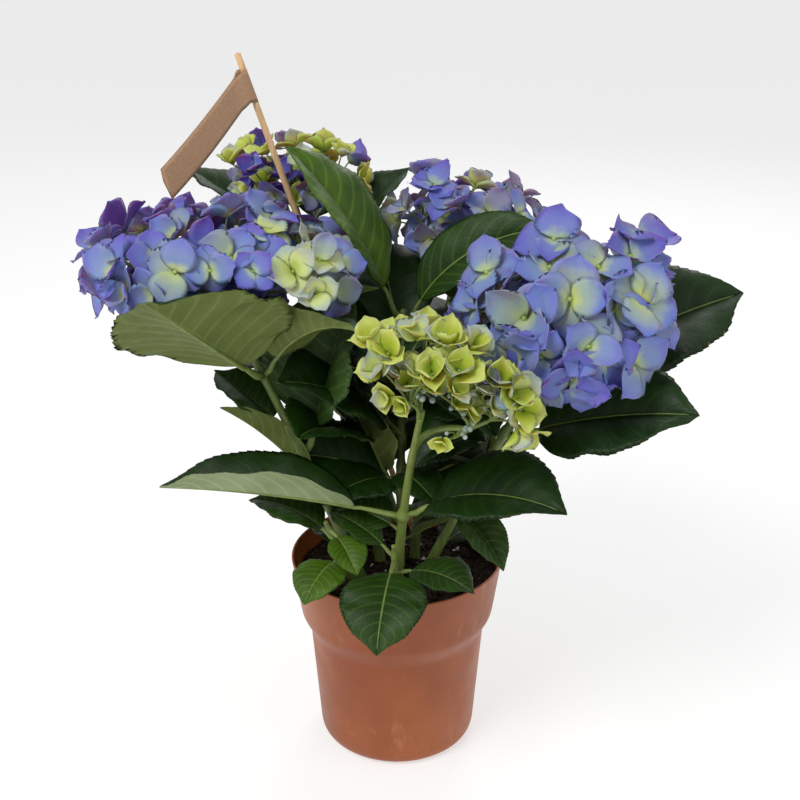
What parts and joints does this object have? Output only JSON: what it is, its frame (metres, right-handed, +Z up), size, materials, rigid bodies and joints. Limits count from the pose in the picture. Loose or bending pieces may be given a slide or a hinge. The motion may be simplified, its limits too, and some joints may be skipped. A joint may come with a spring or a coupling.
{
  "type": "potted hydrangea shrub",
  "caption": "Mophead hydrangea in flower in a terracotta-coloured nursery pot: leaning stems, broad serrated leaves and domed blue and lime-green flower heads.",
  "frame": {"origin": "centre of the pot's flat underside", "axes": "+Z up, -Y towards the plant's front, +X to its right"},
  "size_m": [0.3986, 0.2945, 0.4526],
  "materials": {
    "pot": "moulded, semi-matt, faintly scuffed",
    "compost": "moist dark compost with pale grains",
    "stem": "smooth green shoot with small corky specks",
    "leaf": "semi-gloss above, pale and matt below",
    "blue_bloom": "soft matt sepals",
    "green_bloom": "soft matt sepals",
    "label_stick": "bare sanded wood",
    "label_card": "plain kraft card, bare"
  },
  "bodies": {
    "root": {"pot": "pot", "soil": "compost", "label_stick": "label_stick", "label_flag": "label_card", "stem_left": "stem", "flower_head_left": "blue_bloom", "leaf_left_broad": "leaf", "leaf_left_inner": "leaf", "leaf_left_upright": "leaf", "leaf_left_pale": "leaf", "leaf_left_hind": "leaf", "leaf_left_under_head": "leaf", "stem_front": "stem", "flower_head_front": "green_bloom", "leaf_front_left": "leaf", "leaf_front_right": "leaf", "stem_right": "stem", "flower_head_right": "blue_bloom", "leaf_right_lower": "leaf", "leaf_right_inner": "leaf", "leaf_right_cross": "leaf", "leaf_right_upper": "leaf", "leaf_right_hind": "leaf", "stem_middle": "stem", "leaf_middle_left": "leaf", "leaf_middle_right": "leaf", "leaf_middle_front": "leaf", "leaf_middle_back": "leaf", "leaf_middle_steep": "leaf", "leaf_middle_low": "leaf", "leaf_middle_low_right": "leaf", "leaf_middle_centre_left": "leaf", "leaf_middle_rear_low": "leaf", "stem_back_left": "stem", "flower_head_back_left": "green_bloom", "leaf_back_left_side": "leaf", "leaf_back_left_small": "leaf", "leaf_back_left_rear": "leaf", "leaf_back_left_low": "leaf", "leaf_back_left_outer": "leaf", "stem_back_right": "stem", "flower_head_back_right": "blue_bloom", "leaf_back_right_side": "leaf", "leaf_back_right_rear": "leaf", "leaf_back_right_low": "leaf", "leaf_back_right_cross": "leaf", "leaf_back_right_outer": "leaf", "shoot_left": "stem", "leaf_low_left_round": "leaf", "leaf_low_left_bumpy": "leaf", "leaf_low_left_small": "leaf", "shoot_front": "stem", "leaf_front_hanging": "leaf", "leaf_front_low_right": "leaf", "leaf_front_low_left": "leaf"}
  },
  "joints": []
}
